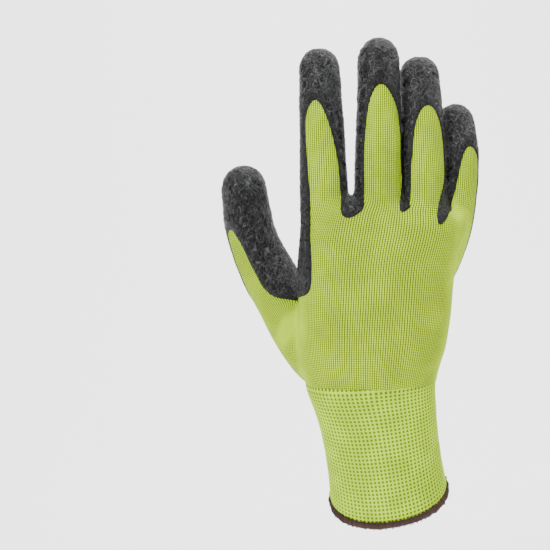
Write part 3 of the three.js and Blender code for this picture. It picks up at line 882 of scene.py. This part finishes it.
def overlock_tree():
    """Loops of thread round a closed path, all set square to it."""
    tree = bpy.data.node_groups.new("overlock", "GeometryNodeTree")
    for name, kind in (("Path", "NodeSocketGeometry"), ("Stitches", "NodeSocketInt"),
                       ("Thread", "NodeSocketFloat"), ("Loop size", "NodeSocketVector"),
                       ("Hem axis", "NodeSocketVector"), ("Material", "NodeSocketMaterial"),
                       ("Seed", "NodeSocketInt")):
        tree.interface.new_socket(name, in_out="INPUT", socket_type=kind)
    tree.interface.new_socket("Stitches", in_out="OUTPUT", socket_type="NodeSocketGeometry")
    given = tree.nodes.new("NodeGroupInput").outputs

    def node(kind, **inputs):
        made = tree.nodes.new(kind)
        for key, value in inputs.items():
            socket = made.inputs[key.replace("_", " ")]
            if isinstance(value, bpy.types.NodeSocket):
                tree.links.new(value, socket)
            else:
                socket.default_value = value
        return made

    spots = node("GeometryNodeCurveToPoints", Curve=given["Path"], Count=given["Stitches"])
    turned = node("FunctionNodeAlignRotationToVector", Vector=spots.outputs["Tangent"])
    turned.axis = "Z"
    set_up = node("FunctionNodeAlignRotationToVector", Rotation=turned.outputs[0], Vector=given["Hem axis"])
    set_up.axis, set_up.pivot_axis = "X", "Z"
    lean = node("FunctionNodeRotateRotation", Rotation=set_up.outputs[0], Rotate_By=LOOP_LEAN)
    lean.rotation_space = "LOCAL"
    loop = node("GeometryNodeCurvePrimitiveCircle", Resolution=LOOP_SIDES, Radius=1.0)
    sized = node("GeometryNodeTransform", Geometry=loop.outputs[0], Scale=given["Loop size"])
    strand = node("GeometryNodeCurvePrimitiveCircle", Resolution=THREAD_SIDES,
                  Radius=given["Thread"])
    tube = node("GeometryNodeCurveToMesh", Curve=sized.outputs[0], Profile_Curve=strand.outputs[0])
    chance = tree.nodes.new("FunctionNodeRandomValue")
    chance.data_type = "FLOAT"
    for value, socket in zip(LOOP_SPREAD, chance.inputs[2:4]):
        socket.default_value = value
    tree.links.new(given["Seed"], chance.inputs["Seed"])
    put = node("GeometryNodeInstanceOnPoints", Points=spots.outputs["Points"], Instance=tube.outputs[0],
               Rotation=lean.outputs[0], Scale=chance.outputs[1])
    real = node("GeometryNodeRealizeInstances", Geometry=put.outputs[0])
    dyed = node("GeometryNodeSetMaterial", Geometry=real.outputs[0], Material=given["Material"])
    tree.links.new(dyed.outputs[0], tree.nodes.new("NodeGroupOutput").inputs[0])
    return tree


curve = bpy.data.curves.new("hem_path", "CURVE")
curve.dimensions = "3D"
spline = curve.splines.new("POLY")
spline.points.add(HEM_POINTS - 1)
spline.points.foreach_set("co", np.hstack([middle[:, 0], np.ones((HEM_POINTS, 1))]).ravel())
spline.use_cyclic_u = True
hem_path = bpy.data.objects.new("hem_path", curve)
bpy.context.scene.collection.objects.link(hem_path)
overlock = hem_path.modifiers.new("overlock", "NODES")
overlock.node_group = overlock_tree()
overlock_sizes = {"Stitches": STITCHES, "Thread": THREAD_RADIUS, "Loop size": LOOP_SIZE,
                  "Hem axis": tuple(hem["along"][0]), "Material": thread.material, "Seed": LOOP_SEED}
for socket in overlock.node_group.interface.items_tree:
    if socket.in_out == "INPUT" and socket.name in overlock_sizes:
        overlock[socket.identifier] = overlock_sizes[socket.name]
loops = bpy.data.meshes.new_from_object(hem_path.evaluated_get(bpy.context.evaluated_depsgraph_get()))
bpy.data.objects.remove(hem_path)
stitches = bpy.data.objects.new("overlock_stitches", loops)
bpy.context.scene.collection.objects.link(stitches)
for piece in (core, stitches):
    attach(piece, "root")
    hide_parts("cuff_edging")

# Stage
# A plain pale floor of matte paper that sweeps up behind the glove, soft light from the front and
# above, and the camera of a product picture.
FLOOR_COLOUR = (0.90, 0.90, 0.90, 1.0)
FLOOR_ROUGHNESS = 0.95
FLOOR_HEIGHT = -0.12
FLOOR_FRONT = -4.0
BACKDROP_TOP = 4.0
BACKDROP_SIDE = 5.0
SWEEP_START = 0.5
SWEEP_RADIUS = 1.0
SWEEP_STEPS = 24
WORLD_COLOUR = (1.0, 1.0, 1.0, 1.0)
WORLD_STRENGTH = 0.30
white = Shader("pale_floor")
white.surface.inputs["Base Color"].default_value = FLOOR_COLOUR
white.surface.inputs["Roughness"].default_value = FLOOR_ROUGHNESS
profile = [(FLOOR_FRONT, FLOOR_HEIGHT)]
for bend in np.linspace(0, math.pi / 2, SWEEP_STEPS):
    rise = SWEEP_RADIUS * (1 - math.cos(bend))
    profile.append((SWEEP_START + SWEEP_RADIUS * math.sin(bend), FLOOR_HEIGHT + rise))
profile.append((SWEEP_START + SWEEP_RADIUS, BACKDROP_TOP))
sheet = [(x, y, z) for x in (-BACKDROP_SIDE, BACKDROP_SIDE) for y, z in profile]
strips = len(profile)
strip_faces = [(i, i + strips, i + strips + 1, i + 1) for i in range(strips - 1)]
backdrop = new_piece("backdrop", sheet, strip_faces)
backdrop.data.materials.append(white.material)
world = bpy.data.worlds.new("studio")
bpy.context.scene.world = world
world.use_nodes = True
world.node_tree.nodes["Background"].inputs["Color"].default_value = WORLD_COLOUR
world.node_tree.nodes["Background"].inputs["Strength"].default_value = WORLD_STRENGTH


def soft_box(name, place, aim, size, power):
    """A square soft light at a place, aimed at a point."""
    light = bpy.data.lights.new(name, "AREA")
    light.energy = power
    light.size = size
    lamp = bpy.data.objects.new(name, light)
    lamp.location = place
    lamp.rotation_euler = (Vector(aim) - Vector(place)).to_track_quat("-Z", "Y").to_euler()
    bpy.context.scene.collection.objects.link(lamp)


GLOVE_MIDDLE = (0.0, 0.0, 0.13)
soft_box("key_light", (-0.75, -0.8, 0.95), GLOVE_MIDDLE, 0.40, 31.0)
soft_box("fill_light", (0.95, -0.9, 0.35), GLOVE_MIDDLE, 0.8, 11.0)
soft_box("rim_light", (0.5, 0.45, 0.8), GLOVE_MIDDLE, 0.4, 5.0)
soft_box("backdrop_light", (0.0, 0.35, 1.5), (0.0, 1.5, 0.3), 1.2, 70.0)

CAMERA_DISTANCE = 0.8
CAMERA_HEIGHT_ANGLE = math.radians(8)
CAMERA_AIM = Vector((-0.0598, -0.005, 0.1175))
PICTURE_WIDTH = 0.2805
towards = Vector((0, math.cos(CAMERA_HEIGHT_ANGLE), -math.sin(CAMERA_HEIGHT_ANGLE)))
camera = bpy.data.objects.new("camera", bpy.data.cameras.new("camera"))
camera.location = CAMERA_AIM - towards * CAMERA_DISTANCE
camera.rotation_euler = towards.to_track_quat("-Z", "Y").to_euler()
camera.data.angle = 2 * math.atan(PICTURE_WIDTH / 2 / CAMERA_DISTANCE)
bpy.context.scene.collection.objects.link(camera)
bpy.context.scene.camera = camera
